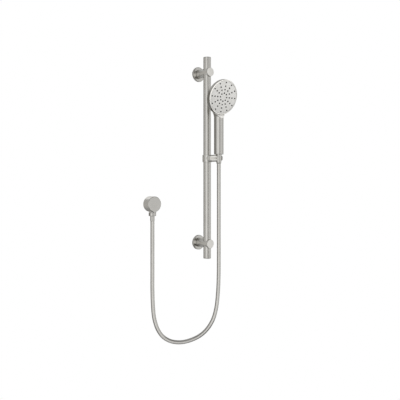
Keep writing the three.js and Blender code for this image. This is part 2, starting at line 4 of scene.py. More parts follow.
import bpy
import numpy as np
from mathutils import Matrix, Vector


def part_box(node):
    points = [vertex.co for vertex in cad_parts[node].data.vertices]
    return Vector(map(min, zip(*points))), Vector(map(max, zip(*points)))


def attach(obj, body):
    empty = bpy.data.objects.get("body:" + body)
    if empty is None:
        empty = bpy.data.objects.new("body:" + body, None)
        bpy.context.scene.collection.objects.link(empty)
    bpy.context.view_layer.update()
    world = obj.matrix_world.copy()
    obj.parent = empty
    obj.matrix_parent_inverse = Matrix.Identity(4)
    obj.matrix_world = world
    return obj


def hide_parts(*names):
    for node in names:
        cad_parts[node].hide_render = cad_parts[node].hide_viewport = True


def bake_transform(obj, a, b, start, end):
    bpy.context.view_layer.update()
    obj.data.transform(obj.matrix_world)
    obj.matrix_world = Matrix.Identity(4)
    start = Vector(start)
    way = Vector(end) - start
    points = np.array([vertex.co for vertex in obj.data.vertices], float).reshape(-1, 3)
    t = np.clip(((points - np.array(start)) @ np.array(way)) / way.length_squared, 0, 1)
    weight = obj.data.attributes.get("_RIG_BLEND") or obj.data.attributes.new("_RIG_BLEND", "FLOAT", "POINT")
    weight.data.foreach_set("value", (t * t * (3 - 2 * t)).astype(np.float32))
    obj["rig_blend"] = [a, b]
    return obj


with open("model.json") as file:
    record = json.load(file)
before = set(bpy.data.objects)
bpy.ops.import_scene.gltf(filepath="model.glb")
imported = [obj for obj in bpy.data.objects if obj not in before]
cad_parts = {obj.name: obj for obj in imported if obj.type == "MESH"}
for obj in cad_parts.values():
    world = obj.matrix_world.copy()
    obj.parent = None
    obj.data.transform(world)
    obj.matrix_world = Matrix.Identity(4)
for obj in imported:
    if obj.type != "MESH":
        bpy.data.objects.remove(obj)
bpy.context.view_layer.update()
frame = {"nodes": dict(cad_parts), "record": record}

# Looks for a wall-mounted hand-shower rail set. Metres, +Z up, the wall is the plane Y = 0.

MM = 0.001
Y, Z = Vector((0, 1, 0)), Vector((0, 0, 1))
RECORD = frame["record"]
BODY_OF = {node: body for body, nodes in RECORD["behaviour"]["bodies"].items() for node in nodes}
SLOT_OF = {entry["node"]: entry["material_slot"] for entry in RECORD["subparts"]}


# ------------------------------------------------------------------------------
# Places and sizes taken from the frame


def middle(node):
    low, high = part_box(node)
    return (low + high) / 2


def low_of(node):
    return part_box(node)[0]


def high_of(node):
    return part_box(node)[1]


RAIL = middle("rail_tube")
RAIL_RADIUS = (high_of("rail_tube").x - low_of("rail_tube").x) / 2
POST_RADIUS = (high_of("lower_post").x - low_of("lower_post").x) / 2
HANDLE_AXIS = middle("hose_cone_nut")
HANDLE_RADIUS = 15.5 * MM
# The handle's top end is inside the head. The head is shaped past its face and then cut off flat.
HANDLE_END = 424 * MM
HEAD_FRONT = 3 * MM
HEAD_RADIUS = (high_of("face_ring").x - low_of("face_ring").x) / 2
HEAD_TILT = math.radians(17)
HEAD_RIM = 9 * MM
HEAD_DOME = 24 * MM
HEAD_LEAN = 0.42
SHOULDER = 408 * MM
GAP = 0.3 * MM
HEAD_TURN = Matrix.Rotation(math.pi / 2 + HEAD_TILT, 4, "X")
FACE_OUT = HEAD_TURN @ Z
PLATE_MIDDLE = -1.7 * MM
HEAD_FRAME = Matrix.Translation(middle("face_plate") - PLATE_MIDDLE * FACE_OUT) @ HEAD_TURN
NOZZLE_RINGS = [(12, 46.7 * MM), (12, 35 * MM), (12, 24.1 * MM), (8, 12.9 * MM)]

# ------------------------------------------------------------------------------
# Camera: level, in front of the set and to its left


def make_camera():
    data = bpy.data.cameras.new("camera")
    data.lens = 50
    data.sensor_width = 36
    data.shift_y = -0.053
    camera = bpy.data.objects.new("camera", data)
    camera.location = (-1.1403, -1.4855, 0.2133)
    camera.rotation_euler = (math.radians(90), 0, math.radians(-37.72))
    bpy.context.scene.collection.objects.link(camera)
    bpy.context.scene.camera = camera


make_camera()

# ------------------------------------------------------------------------------
# Meshes


def new_piece(name, vertices, faces):
    mesh = bpy.data.meshes.new(name)
    mesh.from_pydata([tuple(v) for v in vertices], [], faces)
    mesh.validate()
    piece = bpy.data.objects.new(name, mesh)
    bpy.context.scene.collection.objects.link(piece)
    soften(piece)
    return piece


def soften(piece, angle=35):
    piece.data.shade_smooth()
    piece.data.set_sharp_from_angle(angle=math.radians(angle))


# An outline of (radius, height, fillet) corners, with each corner rounded by its fillet where it has one.
def rounded(outline, closed, steps=5):
    points = []
    count = len(outline)
    for i, corner in enumerate(outline):
        here = np.array(corner[:2], float)
        fillet = corner[2] if len(corner) > 2 else 0
        inner = closed or 0 < i < count - 1
        if not fillet or not inner:
            points.append(here)
            continue
        before = np.array(outline[i - 1][:2], float) - here
        after = np.array(outline[(i + 1) % count][:2], float) - here
        reach_before, reach_after = np.linalg.norm(before), np.linalg.norm(after)
        before, after = before / reach_before, after / reach_after
        half = math.acos(max(-1, min(1, before @ after))) / 2
        cut = min(fillet / math.tan(half), 0.49 * reach_before, 0.49 * reach_after)
        bisector = (before + after) / np.linalg.norm(before + after)
        centre = here + bisector * cut / math.cos(half)
        start, end = here + before * cut - centre, here + after * cut - centre
        sweep = math.atan2(start[0] * end[1] - start[1] * end[0], start @ end)
        for k in range(steps + 1):
            turn = sweep * k / steps
            c, s = math.cos(turn), math.sin(turn)
            points.append(centre + (start[0] * c - start[1] * s, start[0] * s + start[1] * c))
    return points


# A solid of revolution about Z. An outline off the axis closes on itself.
def lathe(outline, sides=96):
    closed = all(corner[0] > 0 for corner in outline)
    profile = rounded(outline, closed)
    vertices, faces, rings = [], [], []
    for radius, height in profile:
        if radius < 1e-9:
            rings.append([len(vertices)] * sides)
            vertices.append((0, 0, height))
            continue
        rings.append(list(range(len(vertices), len(vertices) + sides)))
        for i in range(sides):
            angle = 2 * math.pi * i / sides
            vertices.append((radius * math.cos(angle), radius * math.sin(angle), height))
    pairs = list(zip(rings, rings[1:]))
    if closed:
        pairs.append((rings[-1], rings[0]))
    for ring, following in pairs:
        for i in range(sides):
            j = (i + 1) % sides
            face = [ring[i], ring[j], following[j], following[i]]
            face = [v for k, v in enumerate(face) if v not in face[:k]]
            if len(face) > 2:
                faces.append(face)
    return vertices, faces


def volume_of(vertices, faces):
    total = 0
    for face in faces:
        a = Vector(vertices[face[0]])
        for b, c in zip(face[1:], face[2:]):
            total += a.dot(Vector(vertices[b]).cross(Vector(vertices[c])))
    return total


def turned(name, outline, place=Matrix.Identity(4), sides=96):
    vertices, faces = lathe(outline, sides)
    if volume_of(vertices, faces) < 0:
        faces = [face[::-1] for face in faces]
    return new_piece(name, [place @ Vector(v) for v in vertices], faces)


def cylinder(radius, low, high, place=Matrix.Identity(4), sides=64):
    return turned("cutter", [(0, low), (radius, low), (radius, high), (0, high)], place, sides)


def block(low, high, place=Matrix.Identity(4)):
    corners = [(x, y, z) for x in (low[0], high[0]) for y in (low[1], high[1]) for z in (low[2], high[2])]
    faces = [(0, 1, 3, 2), (4, 6, 7, 5), (0, 4, 5, 1), (2, 3, 7, 6), (0, 2, 6, 4), (1, 5, 7, 3)]
    return new_piece("cutter", [place @ Vector(corner) for corner in corners], faces)


def settle(piece):
    """Turns the piece's modifiers into its mesh."""
    graph = bpy.context.evaluated_depsgraph_get()
    mesh = bpy.data.meshes.new_from_object(piece.evaluated_get(graph))
    piece.modifiers.clear()
    old = piece.data
    piece.data = mesh
    bpy.data.meshes.remove(old)


def combine(piece, others, operation):
    for other in others:
        modifier = piece.modifiers.new("combine", "BOOLEAN")
        modifier.operation = operation
        modifier.object = other
        modifier.solver = "EXACT"
    settle(piece)
    for other in others:
        bpy.data.objects.remove(other)


def carve(piece, *cutters):
    combine(piece, cutters, "DIFFERENCE")


def weld(piece, *others):
    combine(piece, others, "UNION")


def ease_edges(piece, width, angle=40, segments=3):
    modifier = piece.modifiers.new("edges", "BEVEL")
    modifier.width = width
    modifier.segments = segments
    modifier.limit_method = "ANGLE"
    modifier.angle_limit = math.radians(angle)
    modifier.use_clamp_overlap = True
    settle(piece)
    soften(piece)


def remesh(piece, voxel):
    modifier = piece.modifiers.new("skin", "REMESH")
    modifier.mode = "VOXEL"
    modifier.voxel_size = voxel
    settle(piece)


# The smooth union of two distance fields, which rounds the corner where they meet.
def smooth_union(a, b, width):
    near = np.maximum(width - np.abs(a - b), 0) / width
    return np.minimum(a, b) - near * near * width / 4


def rounded_rod(radial, along, half, radius):
    """Distance to a rod's surface: radial and along are measured from its wall and its middle."""
    q = np.stack([radial + radius, np.abs(along) - half + radius])
    outside = np.linalg.norm(np.maximum(q, 0), axis=0)
    return np.minimum(q.max(0), 0) + outside - radius


def settle_on(piece, distance, rounds=14):
    """Moves a voxel skin's points onto the surface where distance is 0, evening them out on the way."""
    mesh = piece.data
    points = np.array([v.co for v in mesh.vertices], float)
    edges = np.array([e.vertices[:] for e in mesh.edges], int)
    count = np.bincount(edges.ravel(), minlength=len(points))[:, None]
    step = 0.05 * MM
    for k in range(rounds):
        if k < rounds - 3:
            total = np.zeros_like(points)
            np.add.at(total, edges[:, 0], points[edges[:, 1]])
            np.add.at(total, edges[:, 1], points[edges[:, 0]])
            points += 0.5 * (total / count - points)
        slopes = [distance(points + step * axis) - distance(points - step * axis) for axis in np.eye(3)]
        slope = np.stack(slopes, 1) / (2 * step)
        size = np.maximum((slope * slope).sum(1), 0.2)
        points -= slope * (distance(points) / size)[:, None]
    mesh.vertices.foreach_set("co", points.astype(np.float32).ravel())
    mesh.update()
    soften(piece)


# ------------------------------------------------------------------------------
# Materials


def link_value(tree, socket, value):
    if isinstance(value, bpy.types.NodeSocket):
        tree.links.new(value, socket)
    else:
        socket.default_value = value


def node(tree, kind, inputs=(), **settings):
    made = tree.nodes.new("ShaderNode" + kind)
    for key, value in settings.items():
        setattr(made, key, value)
    for key, value in dict(inputs).items():
        link_value(tree, made.inputs[key], value)
    return made


def blank_material(name):
    material = bpy.data.materials.new(name)
    material.use_nodes = True
    material.node_tree.nodes.clear()
    return material, material.node_tree


def shader_out(tree, **inputs):
    shader = node(tree, "BsdfPrincipled", {key.replace("_", " "): value for key, value in inputs.items()})
    output = node(tree, "OutputMaterial")
    tree.links.new(shader.outputs[0], output.inputs[0])


def object_place(tree):
    return node(tree, "TexCoord").outputs["Object"]


def scaled(tree, vector, scale):
    return node(tree, "VectorMath", {0: vector, 1: scale}, operation="MULTIPLY").outputs[0]


def noise(tree, vector, scale, detail=2.0, roughness=0.5):
    inputs = {"Vector": vector, "Scale": scale, "Detail": detail, "Roughness": roughness}
    return node(tree, "TexNoise", inputs).outputs["Fac"]


# A value between from_low and from_high, spread between low and high.
def spread(tree, value, low, high, from_low=0.3, from_high=0.7):
    inputs = {"Value": value, "From Min": from_low, "From Max": from_high, "To Min": low, "To Max": high}
    return node(tree, "MapRange", inputs).outputs[0]


def added(tree, first, second):
    return node(tree, "Math", {0: first, 1: second}, operation="ADD").outputs[0]


# A mix of two colours, each of them a socket or its red, green and blue.
def blended_colour(tree, factor, *colours):
    made = node(tree, "Mix", data_type="RGBA")
    link_value(tree, made.inputs["Factor"], factor)
    for socket, colour in zip(made.inputs[6:8], colours):
        link_value(tree, socket, colour if isinstance(colour, bpy.types.NodeSocket) else (*colour, 1))
    return made.outputs[2]


# How far round an edge a point is, from 0 on the flat to 1 on a worn edge.
def edge_wear(tree):
    pointed = node(tree, "NewGeometry").outputs["Pointiness"]
    return spread(tree, pointed, 0, 1, 0.53, 0.6)


# Distance from an axis and along it, so that fine lines run round the axis as a lathe leaves them.
def turning_lines(tree, axis, centre):
    place = object_place(tree)
    offset = node(tree, "VectorMath", {0: place, 1: tuple(centre)}, operation="SUBTRACT").outputs[0]
    across = scaled(tree, offset, tuple(1 - abs(a) for a in axis))
    along = node(tree, "VectorMath", {0: offset, 1: tuple(axis)}, operation="DOT_PRODUCT").outputs["Value"]
    radius = node(tree, "VectorMath", {0: across}, operation="LENGTH").outputs["Value"]
    return node(tree, "CombineXYZ", {"X": radius, "Y": along}).outputs[0]


NICKEL = (0.80, 0.785, 0.755)
NICKEL_DEEP = (0.70, 0.685, 0.655)
NICKEL_WORN = (0.87, 0.86, 0.83)


def brushed_nickel(name, axis=Z, centre=(0, 0, 0), roughness=0.24, grain=1.0):
    material, tree = blank_material(name)
    place = object_place(tree)
    lines = turning_lines(tree, axis, centre)
    fine = noise(tree, lines, 9000, 3, 0.6)
    coarse = noise(tree, lines, 700, 2, 0.5)
    cloud = noise(tree, place, 24, 3, 0.55)
    smear = noise(tree, scaled(tree, place, (60, 60, 18)), 1, 4, 0.6)
    tone = added(tree, spread(tree, fine, 0, 0.5), spread(tree, cloud, 0, 0.5))
    base = blended_colour(tree, tone, NICKEL, NICKEL_DEEP)
    worn = blended_colour(tree, edge_wear(tree), base, NICKEL_WORN)
    lined = spread(tree, fine, roughness - 0.05, roughness + 0.07)
    rough = added(tree, lined, spread(tree, smear, -0.03, 0.05))
    relief = added(tree, fine, coarse)
    bump = node(tree, "Bump", {"Strength": 0.16 * grain, "Distance": 0.00004, "Height": relief}).outputs[0]
    shader_out(tree, Base_Color=worn, Metallic=1.0, Roughness=rough, Normal=bump)
    return material


def plain_metal(name, colour, deep, roughness, axis=Z, centre=(0, 0, 0), lines=5000):
    material, tree = blank_material(name)
    place = object_place(tree)
    marks = noise(tree, turning_lines(tree, axis, centre), lines, 2, 0.5)
    cloud = noise(tree, place, 90, 4, 0.6)
    base = blended_colour(tree, spread(tree, cloud, 0, 1), colour, deep)
    rough = added(tree, spread(tree, cloud, roughness, roughness + 0.12), spread(tree, marks, -0.04, 0.06))
    bump = node(tree, "Bump", {"Strength": 0.2, "Distance": 0.00006, "Height": marks}).outputs[0]
    shader_out(tree, Base_Color=base, Metallic=1.0, Roughness=rough, Normal=bump)
    return material


def moulded(name, colour, deep, roughness, grain=1800, strength=0.12, metallic=0.0):
    material, tree = blank_material(name)
    place = object_place(tree)
    speckle = noise(tree, place, grain, 2, 0.6)
    cloud = noise(tree, place, 60, 3, 0.5)
    base = blended_colour(tree, spread(tree, cloud, 0, 1), colour, deep)
    rough = spread(tree, speckle, roughness - 0.06, roughness + 0.08)
    bump = node(tree, "Bump", {"Strength": strength, "Distance": 0.00005, "Height": speckle}).outputs[0]
    shader_out(tree, Base_Color=base, Metallic=metallic, Roughness=rough, Normal=bump)
    return material


# A clear sleeve over a fine metallic winding, laid out by the tube's own length and girth.
def hose_material(name):
    material, tree = blank_material(name)
    run = node(tree, "UVMap", uv_map="run").outputs[0]
    parts = node(tree, "SeparateXYZ", {"Vector": run})
    turn = added(tree, parts.outputs[0], parts.outputs[1])
    phase = node(tree, "Math", {0: turn, 1: 2 * math.pi}, operation="MULTIPLY").outputs[0]
    wave = node(tree, "Math", {0: phase}, operation="SINE").outputs[0]
    cloud = noise(tree, object_place(tree), 35, 3, 0.5)
    fine = noise(tree, scaled(tree, run, (3, 6, 1)), 2.0, 3, 0.6)
    tone = added(tree, spread(tree, wave, 0, 0.5, -1, 1), spread(tree, cloud, 0, 0.5))
    base = blended_colour(tree, tone, (0.74, 0.725, 0.695), (0.63, 0.615, 0.585))
    rough = spread(tree, fine, 0.16, 0.26)
    relief = added(tree, wave, fine)
    bump = node(tree, "Bump", {"Strength": 0.1, "Distance": 0.00008, "Height": relief}).outputs[0]
    coat = {"Coat_Weight": 0.35, "Coat_Roughness": 0.12}
    shader_out(tree, Base_Color=base, Metallic=0.85, Roughness=rough, Normal=bump, **coat)
    return material


STEEL = (0.60, 0.60, 0.61)
STEEL_DEEP = (0.50, 0.50, 0.51)
FINISH = {
    "steel": plain_metal("steel", STEEL, STEEL_DEEP, 0.28),
    "brass": plain_metal("brass", (0.78, 0.62, 0.34), (0.66, 0.50, 0.26), 0.26),
    "white_plastic": moulded("acetal", (0.83, 0.82, 0.78), (0.76, 0.75, 0.71), 0.42),
    "black_rubber": moulded("rubber", (0.035, 0.035, 0.036), (0.055, 0.054, 0.052), 0.62, 900, 0.2),
    "silicone": moulded("silicone", (0.022, 0.023, 0.021), (0.034, 0.035, 0.033), 0.6, 1200, 0.15),
    "face_plastic": moulded("face", (0.86, 0.85, 0.83), (0.79, 0.78, 0.755), 0.33, 2400, 0.1, 0.8),
    "hose_skin": hose_material("hose_skin"),
    "brushed_nickel": brushed_nickel("nickel"),
    "plated_plastic": brushed_nickel("plated"),
}


def paint(piece, material):
    piece.data.materials.clear()
    piece.data.materials.append(material)


# piece stands for a CAD node, moves with its body and takes its finish.
def stand_for(piece, node_name, material=None):
    paint(piece, material or FINISH[SLOT_OF[node_name]])
    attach(piece, BODY_OF[node_name])
    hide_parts(node_name)


# ------------------------------------------------------------------------------
# Hose: one tube on the same route as in the CAD model, in four lengths that each bend across one joint

HOSE_ROUTE = [
    (0, -0.11, 0.2657),
    (0, -0.11, 0.215),
    (0, -0.11, 0.15),
    (0, -0.11, 0.085),
    (0, -0.11, 0.02),
    (0, -0.11, -0.04),
    (-0.0005, -0.11, -0.095),
    (-0.0025, -0.109, -0.15),
    (-0.008, -0.106, -0.204),
    (-0.018, -0.101, -0.24),
    (-0.035, -0.093, -0.268),
    (-0.056, -0.083, -0.287),
    (-0.084, -0.069, -0.3),
    (-0.114, -0.055, -0.3045),
    (-0.141, -0.041, -0.299),
    (-0.162, -0.03, -0.284),
    (-0.177, -0.023, -0.26),
    (-0.187, -0.0185, -0.225),
    (-0.191, -0.0165, -0.18),
    (-0.192, -0.0155, -0.13),
    (-0.192, -0.0155, -0.075),
    (-0.192, -0.0155, -0.02),
    (-0.192, -0.0155, 0.035),
    (-0.192, -0.0155, 0.0807),
]
HOSE_DIAMETER = 13 * MM
HOSE_SIDES = 32
HOSE_STEP = 3 * MM
# The hose's lengths from the arm down, with the two bodies that each of them bends between.
HOSE_LENGTHS = [
    ("hose_top", "hose_end", "holder", 0.080),
    ("hose_tilt", "holder", "collar", 0.120),
    ("hose_turn", "collar", "carriage", 0.110),
    ("hose_loop", "carriage", "wall_set", None),
]


def hermite(a, b, slope_a, slope_b, t):
    return (
        (2 * t**3 - 3 * t**2 + 1) * a
        + (t**3 - 2 * t**2 + t) * slope_a
        + (3 * t**2 - 2 * t**3) * b
        + (t**3 - t**2) * slope_b
    )


# Points every step along a centripetal Catmull-Rom curve through the route.
def smooth_route(route, step):
    points = [np.array(p, float) for p in route]
    points = [2 * points[0] - points[1], *points, 2 * points[-1] - points[-2]]
    dense = []
    for p0, p1, p2, p3 in zip(points, points[1:], points[2:], points[3:]):
        d0, d1, d2 = (math.sqrt(np.linalg.norm(b - a)) for a, b in ((p0, p1), (p1, p2), (p2, p3)))
        slope_1 = ((p1 - p0) / d0 - (p2 - p0) / (d0 + d1) + (p2 - p1) / d1) * d1
        slope_2 = ((p2 - p1) / d1 - (p3 - p1) / (d1 + d2) + (p3 - p2) / d2) * d1
        dense += [hermite(p1, p2, slope_1, slope_2, k / 40) for k in range(40)]
    dense.append(points[-2])
    dense = np.array(dense)
    run = np.concatenate([[0], np.cumsum(np.linalg.norm(np.diff(dense, axis=0), axis=1))])
    count = round(run[-1] / step)
    places = np.linspace(0, run[-1], count + 1)
    return np.stack([np.interp(places, run, dense[:, k]) for k in range(3)], 1), places


def tube(name, centres, sides_from, run, radius, sides):
    """A closed tube round the centres. sides_from is each ring's first cross direction."""
    tangents = np.gradient(centres, axis=0)
    tangents /= np.linalg.norm(tangents, axis=1)[:, None]
    vertices, faces = [], []
    angles = 2 * math.pi * np.arange(sides) / sides
    for centre, tangent, first in zip(centres, tangents, sides_from):
        second = np.cross(tangent, first)
        ring = centre + radius * (np.outer(np.cos(angles), first) + np.outer(np.sin(angles), second))
        vertices += [tuple(p) for p in ring]
    rings = len(centres)
    for r in range(rings - 1):
        for i in range(sides):
            j = (i + 1) % sides
            faces.append((r * sides + i, r * sides + j, (r + 1) * sides + j, (r + 1) * sides + i))
    faces.append(tuple(reversed(range(sides))))
    faces.append(tuple(range((rings - 1) * sides, rings * sides)))
    piece = new_piece(name, vertices, faces)
    layer = piece.data.uv_layers.new(name="run")
    for loop in piece.data.loops:
        ring, side = divmod(loop.vertex_index, sides)
        layer.data[loop.index].uv = (side / sides, run[ring] / (2.4 * MM))
    return piece


def carried_directions(centres):
    """A cross direction at each centre, carried along the line without twisting."""
    tangents = np.gradient(centres, axis=0)
    tangents /= np.linalg.norm(tangents, axis=1)[:, None]
    direction = np.array([1.0, 0, 0])
    found = []
    for tangent in tangents:
        direction = direction - tangent * (direction @ tangent)
        direction /= np.linalg.norm(direction)
        found.append(direction)
    return np.array(found)


def smooth_step(t):
    t = np.clip(t, 0, 1)
    return t * t * (3 - 2 * t)


def make_hose():
    centres, run = smooth_route(HOSE_ROUTE, HOSE_STEP)
    directions = carried_directions(centres)
    first = 0
    exit_point = centres[0]
    for name, upper, lower, length in HOSE_LENGTHS:
        last = len(centres) - 1 if length is None else first + round(length / HOSE_STEP)
        part = slice(first, last + 1)
        piece = tube(name, centres[part], directions[part], run[part], HOSE_DIAMETER / 2 - GAP, HOSE_SIDES)
        paint(piece, FINISH["hose_skin"])
        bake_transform(piece, lower, upper, start=tuple(centres[last]), end=tuple(centres[first]))
        share = 1 - (run[part] - run[first]) / (run[last] - run[first])
        weights = share if length is None else smooth_step(share)
        blend = piece.data.attributes["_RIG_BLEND"].data
        blend.foreach_set("value", np.repeat(weights, HOSE_SIDES).astype(np.float32))
        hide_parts("hose")
        first, exit_point = last, centres[last]


make_hose()

# ------------------------------------------------------------------------------
# Rail


def upright(node_name):
    """The frame of a piece turned about Z: its middle in X and Y, with its heights as they are."""
    centre = middle(node_name)
    return Matrix.Translation((centre.x, centre.y, 0))


def make_rail():
    place = upright("rail_tube")
    steel = brushed_nickel("rail_nickel", Z, (RAIL.x, RAIL.y, 0), 0.22)
    low, high = low_of("rail_tube").z, high_of("rail_tube").z
    bore = RAIL_RADIUS - 1.5 * MM
    edge = 0.25 * MM
    outline = [(bore, low, edge), (RAIL_RADIUS, low, edge), (RAIL_RADIUS, high, edge), (bore, high, edge)]
    stand_for(turned("rail_tube_shape", outline, place, 128), "rail_tube", steel)
    plug = bore - GAP
    top, bottom = high_of("rail_top_cap").z, low_of("rail_bottom_cap").z
    for name, outer, way in (("rail_top_cap", top, 1), ("rail_bottom_cap", bottom, -1)):
        outline = [
            (0, outer - way * 10 * MM),
            (plug, outer - way * 10 * MM, 0.4 * MM),
            (plug, outer - way * 2 * MM),
            (RAIL_RADIUS, outer - way * 2 * MM, 0.15 * MM),
            (RAIL_RADIUS, outer, 1 * MM),
            (0, outer),
        ]
        stand_for(turned(name + "_shape", outline, place, 128), name, steel)


make_rail()

# ------------------------------------------------------------------------------
# Wall posts. In a post's frame Z runs out of the wall.


def out_of_wall(place):
    return Matrix.Translation((place.x, 0, place.z)) @ Matrix.Rotation(math.pi / 2, 4, "X")


def make_post(side):
    centre = middle(f"{side}_wall_plate")
    place = out_of_wall(centre)
    turned_metal = brushed_nickel(f"{side}_post_nickel", Y, centre, 0.24)
    polished = brushed_nickel(f"{side}_flange_nickel", Y, centre, 0.09, 0.3)
    back = -high_of(f"{side}_post").y
    front = -low_of(f"{side}_post").y
    socket = 10 * MM
    spigot_end = 14.1 * MM
    grub_depth = 9.2 * MM
    recess = 10.2 * MM
    outline = [
        (0, spigot_end),
        (socket, spigot_end, 0.3 * MM),
        (socket, back),
        (POST_RADIUS, back, 0.3 * MM),
        (POST_RADIUS, front, 0.25 * MM),
        (recess, front),
        (recess, front - 1.2 * MM),
        (0, front - 1.2 * MM),
    ]
    post = turned(f"{side}_post_shape", outline, place, 128)
    rail_bore = cylinder(RAIL_RADIUS + GAP, centre.z - 0.03, centre.z + 0.03, upright("rail_tube"), 128)
    screw_bore = cylinder(3.1 * MM, 0.012, -RAIL.y, place, 32)
    grub_place = Matrix.Translation((centre.x, -grub_depth, 0))
    grub_bore = cylinder(2.4 * MM, centre.z - 0.02, centre.z - 0.005, grub_place, 32)
    carve(post, rail_bore, screw_bore, grub_bore)
    ease_edges(post, 0.25 * MM)
    stand_for(post, f"{side}_post", turned_metal)

    cap_front = -low_of(f"{side}_post_cap").y
    cap_radius = (high_of(f"{side}_post_cap").x - low_of(f"{side}_post_cap").x) / 2
    outline = [
        (0, front - 0.9 * MM),
        (9.9 * MM, front - 0.9 * MM),
        (9.9 * MM, front + GAP),
        (cap_radius, front + GAP, 0.2 * MM),
        (cap_radius, cap_front, 0.9 * MM),
        (0, cap_front),
    ]
    stand_for(turned(f"{side}_post_cap_shape", outline, place, 128), f"{side}_post_cap", turned_metal)

    radius = (high_of(f"{side}_flange_cover").x - low_of(f"{side}_flange_cover").x) / 2
    depth = -low_of(f"{side}_flange_cover").y
    mouth = POST_RADIUS + 0.4 * MM
    outline = [
        (mouth, depth - 1.5 * MM, 0.2 * MM),
        (radius - 1.5 * MM, depth - 1.5 * MM, 0.6 * MM),
        (radius - 1.5 * MM, GAP),
        (radius, GAP, 0.2 * MM),
        (radius, depth, 1.3 * MM),
        (mouth, depth, 0.35 * MM),
    ]
    stand_for(turned(f"{side}_flange_shape", outline, place, 160), f"{side}_flange_cover", polished)

    plate_radius = (high_of(f"{side}_wall_plate").x - low_of(f"{side}_wall_plate").x) / 2
    spigot = 9.7 * MM
    outline = [
        (0, 0),
        (plate_radius, 0, 0.3 * MM),
        (plate_radius, 3.5 * MM, 0.5 * MM),
        (spigot, 3.5 * MM, 0.3 * MM),
        (spigot, 8 * MM),
        (spigot - 0.6 * MM, 9.2 * MM),
        (spigot, 10.4 * MM),
        (spigot, 13.8 * MM, 0.8 * MM),
        (0, 13.8 * MM),
    ]
    plate = turned(f"{side}_plate_shape", outline, place, 96)
    sink = [
        (0, -1 * MM),
        (2.6 * MM, -1 * MM),
        (2.6 * MM, 2.2 * MM),
        (4.1 * MM, 3.7 * MM),
        (4.1 * MM, 5 * MM),
        (0, 5 * MM),
    ]
    holes = []
    for x in (-15 * MM, 15 * MM):
        shift = place @ Matrix.Translation((x, 0, 0))
        holes.append(turned("cutter", sink, shift, 32))
    carve(plate, *holes)
    soften(plate)
    plate_metal = plain_metal(f"{side}_plate_steel", STEEL, STEEL_DEEP, 0.3, Y, centre)
    stand_for(plate, f"{side}_wall_plate", plate_metal)


make_post("lower")
make_post("upper")

# ------------------------------------------------------------------------------
# Slider: collar, bushes and holder. In the arm's frame Z runs forward from the rail's axis.

SLIDER = Vector((RAIL.x, RAIL.y, middle("slider_collar").z))
ARM = Matrix.Translation(SLIDER) @ Matrix.Rotation(math.pi / 2, 4, "X")
ARM_HOLE = Matrix.Translation((HANDLE_AXIS.x, HANDLE_AXIS.y, SLIDER.z))
ARM_RADIUS = (high_of("pivot_washer").x - low_of("pivot_washer").x) / 2 + 1 * MM


def make_slider():
    collar_half = (high_of("slider_collar").z - low_of("slider_collar").z) / 2
    collar_radius = (high_of("slider_collar").x - low_of("slider_collar").x) / 2
    boss_end = SLIDER.y - low_of("slider_collar").y
    bore = 13.9 * MM
    outline = [
        (bore, -collar_half, 0.3 * MM),
        (collar_radius, -collar_half, 1 * MM),
        (collar_radius, collar_half, 1 * MM),
        (bore, collar_half, 0.3 * MM),
    ]
    collar = turned("slider_collar_shape", outline, Matrix.Translation(SLIDER), 128)
    boss_outline = [(0, 8 * MM), (ARM_RADIUS, 8 * MM), (ARM_RADIUS, boss_end, 0.3 * MM), (0, boss_end)]
    boss = turned("boss", boss_outline, ARM, 96)
    weld(collar, boss)
    rail_bore = cylinder(bore, -20 * MM, 20 * MM, Matrix.Translation(SLIDER), 128)
    plunger_bore = cylinder(5.2 * MM, 8 * MM, 18.5 * MM, ARM, 32)
    screw_bore = cylinder(2.6 * MM, 10 * MM, 30 * MM, ARM, 32)
    carve(collar, rail_bore, plunger_bore, screw_bore)
    ease_edges(collar, 0.3 * MM)
    metal = brushed_nickel("collar_nickel", Z, (SLIDER.x, SLIDER.y, 0), 0.22)
    stand_for(collar, "slider_collar", metal)

    for name in ("slider_upper_bush", "slider_lower_bush"):
        low, high = low_of(name).z, high_of(name).z
        outer = (high_of(name).x - low_of(name).x) / 2
        inner = RAIL_RADIUS + GAP
        edge = 0.2 * MM
        outline = [(inner, low, edge), (outer, low, edge), (outer, high, edge), (inner, high, edge)]
        stand_for(turned(name + "_shape", outline, upright(name), 96), name)

    near, far = SLIDER.y - high_of("pivot_washer").y, SLIDER.y - low_of("pivot_washer").y
    outer = ARM_RADIUS - 1 * MM
    edge = 0.1 * MM
    outline = [(3 * MM, near), (outer, near, edge), (outer, far, edge), (3 * MM, far)]
    stand_for(turned("pivot_washer_shape", outline, ARM, 96), "pivot_washer")


def cone_at(height):
    """The hose's conical nut: its radius at a height above the arm's axis."""
    return 8.9 * MM + 0.045 * height


def make_holder():
    start = SLIDER.y - high_of("holder_body").y
    front = SLIDER.y - low_of("holder_body").y
    outline = [(0, start), (ARM_RADIUS, start, 0.3 * MM), (ARM_RADIUS, front, 0.9 * MM), (0, front)]
    holder = turned("holder_body_shape", outline, ARM, 128)
    past = ARM_RADIUS + 1 * MM
    hole_outline = [(0, -past), (cone_at(-past) + GAP, -past), (cone_at(past) + GAP, past), (0, past)]
    nut_hole = turned("cutter", hole_outline, ARM_HOLE, 128)
    slot_half = 8.4 * MM
    slot = block((-slot_half, -40 * MM, -30 * MM), (slot_half, 0, 30 * MM), ARM_HOLE)
    screw_bore = cylinder(2.9 * MM, 20 * MM, 50 * MM, ARM, 32)
    screw_head_bore = cylinder(5.1 * MM, 42.5 * MM, 52 * MM, ARM, 32)
    carve(holder, nut_hole, slot, screw_bore, screw_head_bore)
    ease_edges(holder, 0.35 * MM)
    metal = brushed_nickel("holder_nickel", Y, (HANDLE_AXIS.x, 0, SLIDER.z), 0.22)
    stand_for(holder, "holder_body", metal)


make_slider()
make_holder()

# ------------------------------------------------------------------------------
# Handset

